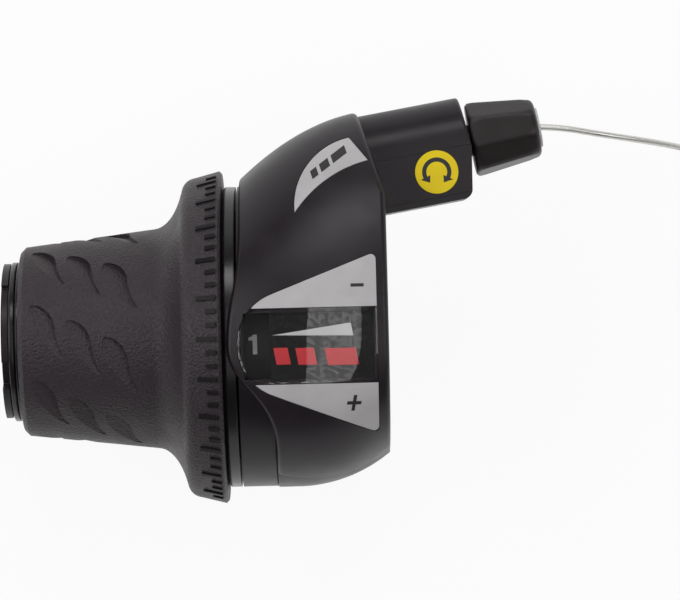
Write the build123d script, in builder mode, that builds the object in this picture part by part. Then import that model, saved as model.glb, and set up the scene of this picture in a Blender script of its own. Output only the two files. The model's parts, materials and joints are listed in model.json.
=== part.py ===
from build123d import *
import math
import os

# Twist grip gear shifter for the left end of a bicycle handlebar.
# X runs along the bar from the grip to the cable, Z points out of the display, Y points forward.
# The origin is on the bar's axis, at the face where the rubber flange meets the housing's rim.

os.makedirs("parts", exist_ok=True)

# Fits
running_gap = 0.1
seat_gap = 0.15
air_gap = 0.35
glue_gap = 0.02

# Bar and fixed sleeve
bar_diameter = 22.2
bar_clearance = 0.05
sleeve_wall = 1.85

# Grip
grip_length = 38.3
core_wall = 2.0
core_lip = 0.6
rim_width = 2.5
rubber_wall = 2.8
grip_taper = 2.9
flange_height = 10.7
flange_width = 7.0
flange_slope = 1.2
flange_sweep = 6.0
end_round = 0.9

# Leaf scallops on the grip
leaf_rows = 8
leaf_columns = 3
leaf_length = 12.1
leaf_crest = 2.1
leaf_crest_at = 3.8
leaf_soft_bow = 2.6
leaf_depth = 0.6
leaf_fall = 17.0
leaf_floor_radius = 36.0
leaf_slant = 58.0
leaf_first = 5.8
leaf_pitch = 6.8
leaf_turn = 9.4
leaf_row_start = 5.4

# End washer and snap hooks
washer_thickness = 1.1
washer_width = 2.1
hook_thickness = 1.3
hook_height = 1.9
hook_angle = 38.0
tab_height = 1.2
tab_angle = 62.0
hook_start = 65.0
tab_start = 16.0
hook_count = 3

# Wire and its path
wire_diameter = 1.2
winding_wall = 4.3
wrap_angle = 100.0
guide_radius = 9.0
liner_wall = 0.6
liner_bore_gap = 0.25
liner_tail = 9.0
liner_lead = 0.3
nipple_diameter = 4.0
nipple_length = 2.6
nipple_chamfer = 0.3
wrap_start = 1.0
slot_width = 6.4
slot_shift = 1.2
slot_slack = 0.5

# Drum, number ring and detents
ring_width = 5.8
ring_wall = 2.0
drum_rim_radius = 23.3
drum_web = 1.8
drum_rim_wall = 1.6
groove_wall = 0.7
groove_width = 1.5
groove_depth = 2.5
key_count = 3
key_width = 24.0
key_slack = 2.0
key_length = 1.5
key_inner = 16.6
key_outer = 19.6
detent_hub = 3.4
detent_width = 2.6
detent_height = 3.5
notch_depth = 1.1
notch_width = 3.6
gear_count = 3
gear_angle = 30.0
nose_angle = 270.0
spring_thickness = 0.4
spring_width = 2.2
spring_reach = 8.6
spring_nose = 2.0
spring_leg = 1.2
spring_lift = 1.4
nose_gap = 0.6
post_width = 1.6
thrust_thickness = 0.5
thrust_width = 3.8

# Fixed shell and web
shell_wall = 2.8
cover_step = 1.6
back_shell_wall = 2.3
web_thickness = 2.0

# Bar clamp
clamp_length = 13.0
collar_wall = 3.85
clamp_slit = 1.6
lug_tail = 5.0
lug_half = 8.3
lug_width = 10.0
lug_corner = 2.0
slit_start = 0.6
bolt_diameter = 5.0
bolt_head_diameter = 8.5
bolt_head_height = 5.0
bolt_socket = 4.0
bolt_socket_depth = 2.6
bolt_drop = 20.0
nut_width = 8.0
nut_height = 3.4
nut_corner = 0.5
bolt_tip = 0.6
clamp_open_low = -15.0
clamp_open_high = 13.5
clamp_open_depth = 12.5

# Housing form
cover_rise = 3.8
crown_fall = 1.5
shoulder_rise = 13.8
shoulder_drop = 15.1
bottom_lift = 0.2
bottom_fall = 6.1
housing_length = 27.75
nose_overhang = 2.0
bottom_bend = 11.2
front_shift = -2.0
front_fullness = 0.66
side_fullness = 0.58
shoulder_front_fullness = 0.5
shoulder_side_fullness = 0.6
cover_wall = 2.8
end_wall = 1.6
end_edge = 1.1
end_lean = 17.0
end_lean_from = 25.8
rear_wall = 1.65
seam_high = 16.5
seam_slope = 0.362
seam_reference = 6.85

# Left edge of the front cover
nose_top = 20.0
nose_side = 0.5
nose_round = 1.0
cover_left = 6.65
cover_left_low = 21.0

# Display
display_x = 9.85
display_y = -1.4
display_nose = 9.9
display_flare = 21.0
display_right = 25.7
display_corner = 0.9
display_clearance = 0.06
band_center = -1.68
band_height = 13.85
panel_thickness = 0.6
lens_thickness = 1.2
card_thickness = 0.4
card_start = 6.1
ledge = 0.9
number_left = 1.2
inlay_base = 10.0

# Shoulder inlay
inlay_thickness = 0.35
inlay_tip = (11.0, 22.6)
inlay_outer = (15.2, 33.6)
inlay_top = (21.3, 36.7)
inlay_corner = (24.8, 32.2)
inlay_inner = (16.5, 28.4)

# Arm
arm_x = 43.6
arm_rise = 7.5
arm_height = 4.0
arm_angle = 9.5
arm_radius = 8.4
arm_depth = 10.8
arm_root = 32.5
arm_cover_root = 23.5
arm_wall = 1.9
arm_seam = 1.0
arm_corner = 1.2
arm_end = 44.25
arm_end_round = 1.8
arm_lean = 14.0
arm_edge = 0.6
boss_radius = 5.0
boss_length = 9.5

# Adjuster
thread_diameter = 6.0
thread_length = 8.5
thread_gap = 0.05
knob_gap = 0.75
knob_length = 12.85
knob_radius = 7.0
knob_tip_radius = 5.6
knob_facets = 8
knob_flat = 0.955
knob_heel = 0.5
knob_round = 1.3
knob_belly = 0.5
knob_bow = 0.45
knob_taper = 6.6
knob_turn = 12.0
bush_radius = 3.4
bush_bore = 1.0
bush_socket_radius = 2.55
bush_socket_depth = 4.5
bush_length = 6.0
bush_lip_radius = 3.7
bush_lip = 0.4

# Round sticker on the arm
badge_diameter = 8.1
badge_thickness = 0.15
badge_back = 6.9
badge_drop = 4.9

# Cover screws
screw_diameter = 2.5
screw_head_diameter = 4.6
screw_head_height = 1.6
screw_bite = 3.5
screw_cross = 2.4
screw_cross_width = 0.6
screw_cross_depth = 0.9
screw_boss = 2.6
arm_screw_back = 13.5
arm_screw_side = 4.6
body_screw_x = 18.0
body_screw_z = -1.5
body_screw_sink = 0.9
body_boss_length = 5.0
tab_width = 5.4
tab_thickness = 3.6
tab_drop = 3.0
tab_bridge = 3.0

# Free wire, put away as a coil
coil_x = 107.0
coil_y = 10.0
coil_lift = 0.3
coil_mean_radius = 10.8
coil_height = 7.0
coil_width = 7.4
coil_round = 3.0
tie_wall = 0.5
tie_width = 3.0
tie_angle = 205.0

# Radii that follow from the sizes above
wire_radius = wire_diameter / 2
liner_bore = wire_radius + liner_bore_gap
liner_radius = liner_bore + liner_wall
bore_radius = bar_diameter / 2 + bar_clearance
sleeve_radius = bore_radius + sleeve_wall
core_inner = sleeve_radius + running_gap
core_radius = core_inner + core_wall
grip_end_radius = core_radius + rubber_wall
grip_root_radius = grip_end_radius + grip_taper
flange_radius = grip_root_radius + flange_height
groove_floor = core_inner + winding_wall
wire_pitch = groove_floor + wire_radius
drum_flange_radius = wire_pitch + groove_depth
detent_hub_radius = core_inner + detent_hub
detent_radius = detent_hub_radius + detent_height
ring_inner = drum_rim_radius + glue_gap
ring_radius = ring_inner + ring_wall
shell_inner = ring_radius + air_gap
shell_radius = shell_inner + shell_wall
back_shell_radius = shell_radius - cover_step
back_shell_inner = back_shell_radius - back_shell_wall
collar_radius = bore_radius + collar_wall
cover_radius = shell_radius + bottom_lift
crown = shell_radius + cover_rise
shoulder_top = shell_radius + shoulder_rise
floor_z = -flange_radius

# Places along the bar
shell_start = rim_width + air_gap
ring_start = shell_start + air_gap
ring_end = ring_start + ring_width
shell_step = ring_end + 2 * seat_gap
groove_center = shell_step + groove_wall + groove_width / 2
drum_flange_end = groove_center + groove_width / 2 + groove_wall
detent_start = drum_flange_end + seat_gap
drum_end = detent_start + detent_width + seat_gap
thrust_start = drum_end + glue_gap
web_start = thrust_start + thrust_thickness + glue_gap
web_end = web_start + web_thickness
housing_end = shell_start + housing_length
clamp_middle = web_end + clamp_length / 2
cover_edge = shell_start + cover_left

core_end = -grip_length - core_lip
washer_start = core_end - seat_gap
hook_start_x = washer_start - washer_thickness - seat_gap
sleeve_end = hook_start_x - hook_thickness

# Arm frame: local x is up across the arm, local y is Z, the normal runs out along the cable
arm_center = Vector(shell_start + arm_x, shell_radius + arm_rise, arm_height)
arm_out = Vector(math.cos(math.radians(arm_angle)), math.sin(math.radians(arm_angle)), 0)
arm_up = Vector(-arm_out.Y, arm_out.X, 0)
arm_plane = Plane(origin=arm_center, x_dir=arm_up, z_dir=arm_out)
arm_front = arm_height + arm_radius
arm_end_room = arm_depth * math.sin(math.radians(arm_angle))
arm_back = arm_height - arm_radius - seat_gap

# Wire's tangent point on the drum and its corner above the guide
corner_x = groove_center
corner = arm_center - arm_out * ((arm_center.X - corner_x) / arm_out.X)
corner_distance = math.hypot(corner.Y, corner.Z)
tangent_angle = math.atan2(corner.Z, corner.Y) + math.acos(wire_pitch / corner_distance)
tangent_point = Vector(
    groove_center, wire_pitch * math.cos(tangent_angle), wire_pitch * math.sin(tangent_angle)
)
knob_end = knob_gap + knob_length
mouth = arm_center + arm_out * (knob_end + bush_lip + glue_gap)

far = 60.0


def seam_height(x):
    """Height of the seam between the front and rear covers."""
    return seam_high - seam_slope * (x - shell_start - seam_reference)


def bottom_radius(x):
    """Outer radius of the housing's lower half."""
    bend = shell_start + bottom_bend
    beyond = max(0.0, x - bend) / (housing_end - bend)
    return cover_radius - bottom_fall * beyond**2


def section_plane(x):
    """Plane across the bar, with local x along Y and local y along Z."""
    return Plane(origin=(x, 0, 0), x_dir=(0, 1, 0), z_dir=(1, 0, 0))


def housing_form(inset, first, last, stations=6):
    """Rounded form of the front cover, taken in by inset."""
    middle = (shell_start + housing_end) / 2
    with BuildPart() as form:
        for i in range(stations):
            x = first + (last - first) * i / (stations - 1)
            back = (housing_end - x) / (housing_length + nose_overhang)
            top = shoulder_top - shoulder_drop * back**2 - inset
            front = crown - crown_fall * ((x - middle) / (housing_length / 2)) ** 2 - inset
            bottom = bottom_radius(x) - inset
            ridge = arm_radius - inset
            low_reach = front_shift + bottom
            high_reach = top - front_shift
            high_rise = front - arm_height
            with BuildSketch(section_plane(x)):
                with BuildLine():
                    Bezier(
                        (-bottom, 0),
                        (-bottom, side_fullness * front),
                        (front_shift - front_fullness * low_reach, front),
                        (front_shift, front),
                    )
                    Bezier(
                        (front_shift, front),
                        (front_shift + shoulder_front_fullness * high_reach, front),
                        (top, arm_height + shoulder_side_fullness * high_rise),
                        (top, arm_height),
                    )
                    RadiusArc((top, arm_height), (top - ridge, arm_height - ridge), ridge)
                    Line((top - ridge, arm_height - ridge), (0, arm_height - ridge))
                    Line((0, arm_height - ridge), (-bottom, 0))
                make_face()
        loft()
        lean = math.tan(math.radians(end_lean))
        with BuildSketch(Plane.XY.offset(-far)):
            Polygon(
                (last, end_lean_from - inset),
                (last + far, end_lean_from - inset),
                (last + far, end_lean_from - inset + far),
                (last - far * lean, end_lean_from - inset + far),
                align=None,
            )
        extrude(amount=2 * far, mode=Mode.SUBTRACT)
    return form.part


def display_outline(margin):
    """Teardrop outline of the display, taken in by a margin."""
    center_x = shell_start + display_x
    nose = display_nose - margin
    right = shell_start + display_right - margin
    flare = math.radians(display_flare)
    touch_x = center_x - nose * math.sin(flare)
    half = nose * math.cos(flare)
    spread = half + (right - touch_x) * math.tan(flare)
    with BuildSketch() as outline:
        with BuildLine():
            Polyline(
                (touch_x, display_y + half),
                (right, display_y + spread),
                (right, display_y - spread),
                (touch_x, display_y - half),
            )
            ThreePointArc(
                (touch_x, display_y - half),
                (center_x - nose, display_y),
                (touch_x, display_y + half),
            )
        make_face()
        corners = outline.vertices().sort_by(Axis.X)[-2:]
        fillet(corners, display_corner)
    return outline.sketch


def inlay_outline():
    """Crescent outline of the shoulder inlay."""
    shift = Vector(shell_start, 0)
    tip, outer, top, end, inner = (
        Vector(*point) + shift
        for point in (inlay_tip, inlay_outer, inlay_top, inlay_corner, inlay_inner)
    )
    with BuildSketch() as outline:
        with BuildLine():
            ThreePointArc(tip, outer, top)
            Line(top, end)
            ThreePointArc(end, inner, tip)
        make_face()
    return outline.sketch


form_start = shell_start - nose_overhang - nose_side
outer_form = housing_form(0, form_start, housing_end)
panel_floor = housing_form(panel_thickness, form_start, housing_end)
lens_floor = housing_form(lens_thickness, form_start, housing_end)
card_floor = housing_form(lens_thickness + card_thickness, form_start, housing_end)
inlay_floor = housing_form(inlay_thickness, form_start, housing_end)
cavity_form = housing_form(cover_wall, shell_start + cover_wall, housing_end - end_wall)

coil_bottom = floor_z + tie_wall + coil_lift
coil_top = coil_bottom + coil_height

# Hand-chosen points of the free wire, from the mouth of the adjuster to the top of its coil
wire_route = (
    mouth + arm_out * seat_gap,
    Vector(64.6, 38.1, 3.8),
    Vector(70.8, 36.9, 2.9),
    Vector(78.6, 35.7, 0.4),
    Vector(87.0, 34.4, -4.8),
    Vector(96.0, 32.2, -11.6),
    Vector(105.0, 29.0, -17.6),
    Vector(112.6, 23.6, -21.8),
    Vector(117.2, 16.4, coil_top + wire_radius + 0.5),
    Vector(118.0, 9.6, coil_top + wire_radius + seat_gap),
)


def ring_sector(inner, outer, angle):
    """Piece of a ring, centred on the local x axis."""
    half = math.radians(angle / 2)
    low_a = (inner * math.cos(half), -inner * math.sin(half))
    low_b = (inner * math.cos(half), inner * math.sin(half))
    high_a = (outer * math.cos(half), -outer * math.sin(half))
    high_b = (outer * math.cos(half), outer * math.sin(half))
    with BuildSketch() as sector:
        with BuildLine():
            Line(low_a, high_a)
            ThreePointArc(high_a, (outer, 0), high_b)
            Line(high_b, low_b)
            ThreePointArc(low_b, (inner, 0), low_a)
        make_face()
    return sector.sketch


def turned_plane(x, angle):
    """Plane across the bar whose local x axis points out at an angle from Y towards Z."""
    turn = math.radians(angle)
    return Plane(
        origin=(x, 0, 0), x_dir=(0, math.cos(turn), math.sin(turn)), z_dir=(1, 0, 0)
    )


def radial_plane(angle):
    """Plane through the bar's axis, with local x along the bar and local y outwards."""
    return Plane(
        origin=(0, 0, 0),
        x_dir=(1, 0, 0),
        z_dir=(0, -math.sin(angle), math.cos(angle)),
    )


def arc_radii(points):
    """Largest fillet radii that the runs of a route allow."""
    radii = []
    for before, here, after in zip(points, points[1:], points[2:]):
        turn = math.radians((here - before).get_angle(after - here))
        shorter = min((here - before).length, (after - here).length)
        radii.append(0.45 * shorter / math.tan(turn / 2))
    return radii


def round_tube(points, bends, radius):
    """Round rod along straight runs that are joined by arcs."""
    with BuildPart() as rod:
        with BuildLine() as path:
            FilletPolyline(*points, radius=bends)
        with BuildSketch(Plane(origin=path.line @ 0, z_dir=path.line % 0)):
            Circle(radius)
        sweep(path=path.line)
    return rod.part


wire_run = (corner - tangent_point).normalized()
guide_turn = math.radians(wire_run.get_angle(arm_out))
bend_length = guide_radius * math.tan(guide_turn / 2)
liner_route = (
    corner - wire_run * (bend_length + liner_lead),
    corner,
    corner + arm_out * (bend_length + liner_tail),
)
liner_room = round_tube(liner_route, guide_radius, liner_radius + seat_gap)



def leaf_cutter(column):
    """Cutter for one leaf at the top of the grip, deep along its sharp edge."""
    x = -grip_length + leaf_first + leaf_pitch * column
    slope = grip_taper / (grip_length - flange_width - flange_sweep)
    surface = grip_end_radius + slope * (x + grip_length)
    slant = math.radians(leaf_slant)
    fall = math.tan(math.radians(leaf_fall))
    lean = math.atan(fall * math.cos(slant))
    center = Vector(x, 0, surface - leaf_depth)
    floor_axis = center - Vector(0, math.sin(lean), math.cos(lean)) * leaf_floor_radius
    floor_slope = slope - fall * math.sin(slant)
    tip = leaf_length / 2
    length_dir = Vector(math.cos(slant), -math.sin(slant), 0)
    with BuildPart() as cutter:
        with BuildSketch(Plane(origin=center, x_dir=length_dir, z_dir=(0, 0, 1)).offset(-rubber_wall)):
            with BuildLine():
                Spline(
                    (-tip, 0),
                    (leaf_crest_at - tip, leaf_crest),
                    (tip, 0),
                    tangents=[(0.4, 1), (1, 0)],
                )
                ThreePointArc((tip, 0), (0, -leaf_soft_bow), (-tip, 0))
            make_face()
        extrude(amount=2 * rubber_wall)
        with BuildSketch(Plane(origin=floor_axis, x_dir=(1, 0, 0), z_dir=(0, -1, 0))):
            Polygon(
                (-leaf_length, 0),
                (leaf_length, 0),
                (leaf_length, leaf_floor_radius + leaf_length * floor_slope),
                (-leaf_length, leaf_floor_radius - leaf_length * floor_slope),
                align=None,
            )
        revolve(axis=Axis(floor_axis, (1, 0, 0)), mode=Mode.SUBTRACT)
    return cutter.part


leaf_cutters = [leaf_cutter(column) for column in range(leaf_columns)]

# Rubber sleeve with flared flange and leaf scallops
with BuildPart() as grip_rubber:
    rubber_inner = core_radius + glue_gap
    flange_left = -flange_width
    rim_left_radius = flange_radius - flange_slope
    with BuildSketch(Plane.XY):
        with BuildLine():
            Polyline(
                (-glue_gap, rubber_inner),
                (-grip_length, rubber_inner),
                (-grip_length, grip_end_radius - end_round),
                (-grip_length + end_round, grip_end_radius),
                (flange_left - flange_sweep, grip_root_radius),
            )
            sweep_start = (flange_left - flange_sweep, grip_root_radius)
            sweep_end = (flange_left - 0.6, rim_left_radius - 2.2)
            Spline(
                sweep_start,
                sweep_end,
                tangents=[(1, 0.13), (0.25, 1)],
                tangent_scalars=[1.0, 1.0],
            )
            Spline(
                sweep_end,
                (flange_left + 1.9, rim_left_radius),
                tangents=[(0.25, 1), (1, 0.16)],
            )
            Polyline(
                (flange_left + 1.9, rim_left_radius),
                (-0.5, flange_radius),
                (-glue_gap, flange_radius - 0.5),
                (-glue_gap, rubber_inner),
            )
        make_face()
    revolve(axis=Axis.X)
    for column, cutter in enumerate(leaf_cutters):
        for row in range(leaf_rows):
            turn = leaf_row_start + 360 / leaf_rows * row - leaf_turn * column
            add(cutter.rotate(Axis.X, -turn), mode=Mode.SUBTRACT)

# Hard turning sleeve under the rubber, with the rim behind the flange
key_slot = ring_sector(key_inner - seat_gap, key_outer + seat_gap, key_width + key_slack)
with BuildPart() as grip_core:
    with BuildSketch(Plane.XY):
        with BuildLine():
            Polyline(
                (core_end, core_inner),
                (core_end, core_radius),
                (0, core_radius),
                (0, shell_radius - 0.6),
                (0.6, shell_radius),
                (rim_width, shell_radius),
                (rim_width, core_inner),
                close=True,
            )
        make_face()
    revolve(axis=Axis.X)
    for key in range(key_count):
        with BuildSketch(turned_plane(rim_width, 360 / key_count * key)):
            add(key_slot)
        extrude(amount=-key_length - seat_gap, mode=Mode.SUBTRACT)

# Drum that winds the wire, keyed into the core
key_face = ring_sector(key_inner, key_outer, key_width)
with BuildPart() as winding_drum:
    drum_start = rim_width + glue_gap
    rim_inside = drum_rim_radius - drum_rim_wall
    groove_left = groove_center - groove_width / 2
    groove_right = groove_center + groove_width / 2
    with BuildSketch(Plane.XY):
        with BuildLine():
            Polyline(
                (drum_start, core_inner),
                (drum_start, drum_rim_radius),
                (ring_end, drum_rim_radius),
                (ring_end, rim_inside),
                (drum_start + drum_web, rim_inside),
                (drum_start + drum_web, groove_floor),
                (shell_step, groove_floor),
                (shell_step, drum_flange_radius),
                (groove_left, drum_flange_radius),
                (groove_left, groove_floor),
                (groove_right, groove_floor),
                (groove_right, drum_flange_radius),
                (drum_flange_end, drum_flange_radius),
                (drum_flange_end, detent_hub_radius),
                (drum_end, detent_hub_radius),
                (drum_end, core_inner),
                close=True,
            )
        make_face()
    revolve(axis=Axis.X)
    for key in range(key_count):
        with BuildSketch(turned_plane(drum_start, 360 / key_count * key)):
            add(key_face)
        extrude(amount=-key_length)
    nipple_plane = turned_plane(shell_step, math.degrees(tangent_angle) + wrap_angle)
    with BuildSketch(nipple_plane):
        with Locations((wire_pitch, 0)):
            Circle(nipple_diameter / 2 + glue_gap)
    extrude(amount=drum_flange_end - shell_step, mode=Mode.SUBTRACT)

# End stop of the wire in the drum's pocket
with BuildPart() as cable_nipple:
    nipple_start = groove_center - nipple_length / 2
    with BuildSketch(turned_plane(nipple_start, math.degrees(tangent_angle) + wrap_angle)):
        with Locations((wire_pitch, 0)):
            Circle(nipple_diameter / 2)
    extrude(amount=nipple_length)
    chamfer(cable_nipple.edges().filter_by(GeomType.CIRCLE), nipple_chamfer)

# Wire wound on the drum
with BuildPart() as cable_wrap:
    nipple_turn = math.degrees(math.asin((nipple_diameter / 2 + seat_gap) / wire_pitch))
    with BuildSketch(radial_plane(tangent_angle + math.radians(wrap_start))):
        with Locations((groove_center, wire_pitch)):
            Circle(wire_radius)
    revolve(axis=Axis.X, revolution_arc=wrap_angle - wrap_start - nipple_turn)

# Ring with the gear numbers
with BuildPart() as number_ring:
    with BuildSketch(Plane.XY):
        with BuildLine():
            Polyline(
                (ring_start, ring_inner),
                (ring_start, ring_radius),
                (ring_end, ring_radius),
                (ring_end, ring_inner),
                close=True,
            )
        make_face()
    revolve(axis=Axis.X)

# Ring with a notch for each gear
with BuildPart() as detent_ring:
    with BuildSketch(section_plane(detent_start)):
        Circle(detent_radius)
        Circle(detent_hub_radius + glue_gap, mode=Mode.SUBTRACT)
        for gear in range(gear_count):
            with PolarLocations(detent_radius, 1, start_angle=nose_angle - gear_angle * gear):
                Polygon(
                    (notch_depth, notch_width),
                    (-notch_depth, 0),
                    (notch_depth, -notch_width),
                    align=None,
                    mode=Mode.SUBTRACT,
                )
    extrude(amount=detent_width)

# Leaf spring that drops into the notches
with BuildPart() as detent_spring:
    spring_start = detent_start + (detent_width - spring_width) / 2
    leaf_level = detent_radius + spring_lift
    nose_level = detent_radius - notch_depth + nose_gap
    with BuildSketch(turned_plane(spring_start, nose_angle)):
        with BuildLine():
            Polyline(
                (leaf_level + spring_leg, -spring_reach),
                (leaf_level, -spring_reach),
                (leaf_level, -spring_nose),
                (nose_level, 0),
                (leaf_level, spring_nose),
                (leaf_level, spring_reach),
                (leaf_level + spring_leg, spring_reach),
            )
        trace(line_width=spring_thickness)
    extrude(amount=spring_width)

# Slippery washer between the drum and the web
with BuildPart() as thrust_washer:
    with BuildSketch(section_plane(thrust_start)):
        Circle(core_inner + thrust_width)
        Circle(core_inner, mode=Mode.SUBTRACT)
    extrude(amount=thrust_thickness)

# Washer between the grip and the snap hooks
with BuildPart() as end_washer:
    with BuildSketch(section_plane(washer_start)):
        Circle(sleeve_radius + washer_width)
        Circle(core_inner, mode=Mode.SUBTRACT)
    extrude(amount=-washer_thickness)
    rims = end_washer.edges().filter_by(GeomType.CIRCLE).sort_by(SortBy.RADIUS)[-2:]
    fillet(rims, washer_thickness / 4)

# Planes at the outer ends of the screws' seats, with their normals along the screws
arm_screw_seat = arm_center - arm_out * arm_screw_back - arm_up * arm_depth
arm_screw_plane = Plane(
    origin=arm_screw_seat - Vector(0, 0, arm_screw_side), x_dir=arm_out, z_dir=arm_up
)
body_screw_place = shell_start + body_screw_x
body_screw_plane = Plane(
    origin=(body_screw_place, -bottom_radius(body_screw_place), body_screw_z),
    x_dir=(-1, 0, 0),
    z_dir=(0, 1, 0),
)
body_head_seat = screw_head_height + body_screw_sink
tab_seam = seam_height(body_screw_place - tab_width / 2)
tab_top = tab_seam - body_screw_z + tab_bridge + seat_gap

# Outside of the arm's lower half, with a rounded corner at its end
with BuildPart() as arm_block:
    with BuildSketch(arm_plane.offset(arm_end_room)):
        with Locations((-(arm_depth + arm_seam) / 2, 0)):
            Rectangle(arm_depth - arm_seam, 2 * arm_radius)
    extrude(amount=-arm_end_room - arm_root)
    arm_edges = (
        arm_block.edges()
        .filter_by(lambda edge: abs(edge.tangent_at(0.5).dot(arm_out)) > 0.999)
        .sort_by(Axis(arm_center, arm_up))[:2]
    )
    chamfer(arm_edges, arm_corner)
    with BuildSketch(Plane.XY.offset(-far)):
        with Locations((shell_start + arm_end + far / 2, 0)):
            Rectangle(far, 2 * far)
    extrude(amount=2 * far, mode=Mode.SUBTRACT)
    end_face = arm_block.faces().sort_by(Axis.X)[-1]
    fillet(end_face.edges().sort_by(Axis.Y)[0], arm_end_round)

# Fixed sleeve, drum shell, web, clamp and lower half of the arm
hook_root = (bore_radius + sleeve_radius) / 2
hook_face = ring_sector(hook_root, sleeve_radius + hook_height, hook_angle)
tab_face = ring_sector(hook_root, sleeve_radius + tab_height, tab_angle)
with BuildPart() as base_bracket:
    with BuildSketch(Plane.XY):
        with BuildLine():
            Polyline(
                (sleeve_end, bore_radius),
                (sleeve_end, sleeve_radius),
                (web_start, sleeve_radius),
                (web_start, back_shell_inner),
                (shell_step, back_shell_inner),
                (shell_step, shell_inner),
                (shell_start, shell_inner),
                (shell_start, shell_radius),
                (cover_edge - seat_gap, shell_radius),
                (cover_edge - seat_gap, back_shell_radius),
                (web_end, back_shell_radius),
                (web_end, collar_radius),
                (web_end + clamp_length, collar_radius),
                (web_end + clamp_length, bore_radius),
                close=True,
            )
        make_face()
    revolve(axis=Axis.X)
    # Snap hooks and stop tabs at the bar's end
    for hook in range(hook_count):
        step = 360 / hook_count * hook
        with BuildSketch(turned_plane(sleeve_end, 90 - hook_start + step)):
            add(hook_face)
        extrude(amount=hook_thickness)
        with BuildSketch(turned_plane(sleeve_end, 90 - tab_start + step)):
            add(tab_face)
        extrude(amount=hook_thickness)
    # Lower half of the arm, hollow, with an upright end and the threaded boss in it
    add(arm_block.part)
    with BuildSketch(arm_plane.offset(-end_wall)):
        with Locations((-(arm_depth - arm_wall) / 2, 0)):
            Rectangle(arm_depth - arm_wall, 2 * (arm_radius - arm_wall))
    extrude(amount=-(arm_root - end_wall - arm_wall), mode=Mode.SUBTRACT)
    with BuildSketch(arm_plane.offset(-arm_edge)):
        Circle(boss_radius)
    extrude(amount=arm_edge - boss_length)
    with BuildSketch(arm_plane.offset(-arm_end_room)):
        with Locations((-(arm_depth - arm_wall / 2) / 2, 0)):
            Rectangle(arm_depth - arm_wall / 2, 2 * boss_radius)
    extrude(amount=arm_end_room - boss_length)
    with BuildSketch(arm_plane.offset(arm_end_room)):
        Circle(thread_diameter / 2 + thread_gap)
    extrude(amount=-arm_end_room - boss_length, mode=Mode.SUBTRACT)
    # Post for the arm's screw
    with BuildSketch(arm_screw_plane):
        Circle(screw_boss)
    extrude(amount=arm_depth - arm_seam)
    with BuildSketch(arm_screw_plane):
        Circle(screw_head_diameter / 2 + seat_gap)
    extrude(amount=screw_head_height, mode=Mode.SUBTRACT)
    with BuildSketch(arm_screw_plane):
        Circle(screw_diameter / 2 + seat_gap)
    extrude(amount=arm_depth, mode=Mode.SUBTRACT)
    # Notch where the liner enters the arm
    add(liner_room, mode=Mode.SUBTRACT)
    # Posts that carry the leaf spring
    for side in (-1, 1):
        post_middle = side * (spring_reach - spring_thickness / 2 - seat_gap - post_width / 2)
        post_low = leaf_level + spring_thickness / 2 + seat_gap
        post_high = back_shell_inner + back_shell_wall / 2
        with BuildSketch(turned_plane(spring_start, nose_angle)):
            with Locations(((post_low + post_high) / 2, post_middle)):
                Rectangle(post_high - post_low, post_width)
        extrude(amount=web_start - spring_start)
    # Window in front of the number ring
    with BuildSketch(Plane.XY.offset(groove_floor)):
        with Locations(((shell_start + shell_step) / 2, band_center)):
            Rectangle(shell_step - shell_start - 4 * seat_gap, band_height - 2 * ledge)
    extrude(amount=far, mode=Mode.SUBTRACT)
    # Slot where the wire leaves the drum's chamber
    slot_plane = Plane(origin=corner, x_dir=(1, 0, 0), z_dir=wire_run)
    with BuildSketch(slot_plane):
        with Locations((slot_shift, 0)):
            Rectangle(slot_width, 2 * (liner_radius + slot_slack))
    extrude(amount=guide_radius, both=True, mode=Mode.SUBTRACT)
    # Clamp lugs, slit and bolt hole
    lug_bottom = bolt_drop + lug_tail
    lug_top = (bore_radius + collar_radius) / 2
    with BuildSketch(Plane.XZ.offset(-lug_half)):
        with Locations((clamp_middle, -(lug_bottom + lug_top) / 2)):
            RectangleRounded(lug_width, lug_bottom - lug_top, lug_corner)
    extrude(amount=2 * lug_half)
    with BuildSketch(Plane.XY.offset(-far)):
        with Locations((web_end + clamp_length / 2 + slit_start, 0)):
            Rectangle(clamp_length, clamp_slit)
    extrude(amount=far - bore_radius / 2, mode=Mode.SUBTRACT)
    with BuildSketch(Plane.XZ.offset(-far / 2)):
        with Locations((clamp_middle, -bolt_drop)):
            Circle(bolt_diameter / 2 + seat_gap)
    extrude(amount=far, mode=Mode.SUBTRACT)
    with BuildSketch(section_plane(sleeve_end)):
        Circle(bore_radius)
    extrude(amount=web_end + clamp_length - sleeve_end, mode=Mode.SUBTRACT)

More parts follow.
